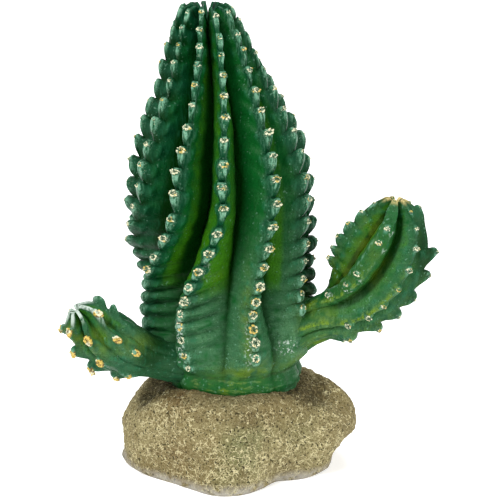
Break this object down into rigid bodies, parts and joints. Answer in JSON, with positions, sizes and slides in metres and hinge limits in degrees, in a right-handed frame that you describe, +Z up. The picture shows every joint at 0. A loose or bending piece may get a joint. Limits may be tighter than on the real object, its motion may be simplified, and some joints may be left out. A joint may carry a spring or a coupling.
{
  "type": "cast columnar cactus ornament on a stone-like foot",
  "caption": "Painted cast ornament: a ribbed, toothed columnar cactus with a low arm on each side, standing in a stone-like foot.",
  "frame": {"origin": "middle of the flat underside of the stone-like foot, which stands on a level surface", "axes": "+Z up the column, -Y the front, +X towards the upright arm"},
  "size_m": [0.1331, 0.0719, 0.1731],
  "materials": {
    "green_resin": "satin hand-painted resin: deep green, brushed blue-green on the ridges, cream tips",
    "stone_resin": "matt sand-coloured resin with pits and cream grains"
  },
  "bodies": {
    "root": {"main_column": "green_resin", "left_arm_elbow": "green_resin", "left_arm_head": "green_resin", "right_arm_elbow": "green_resin", "right_arm_head": "green_resin", "stone_foot": "stone_resin"}
  },
  "joints": []
}
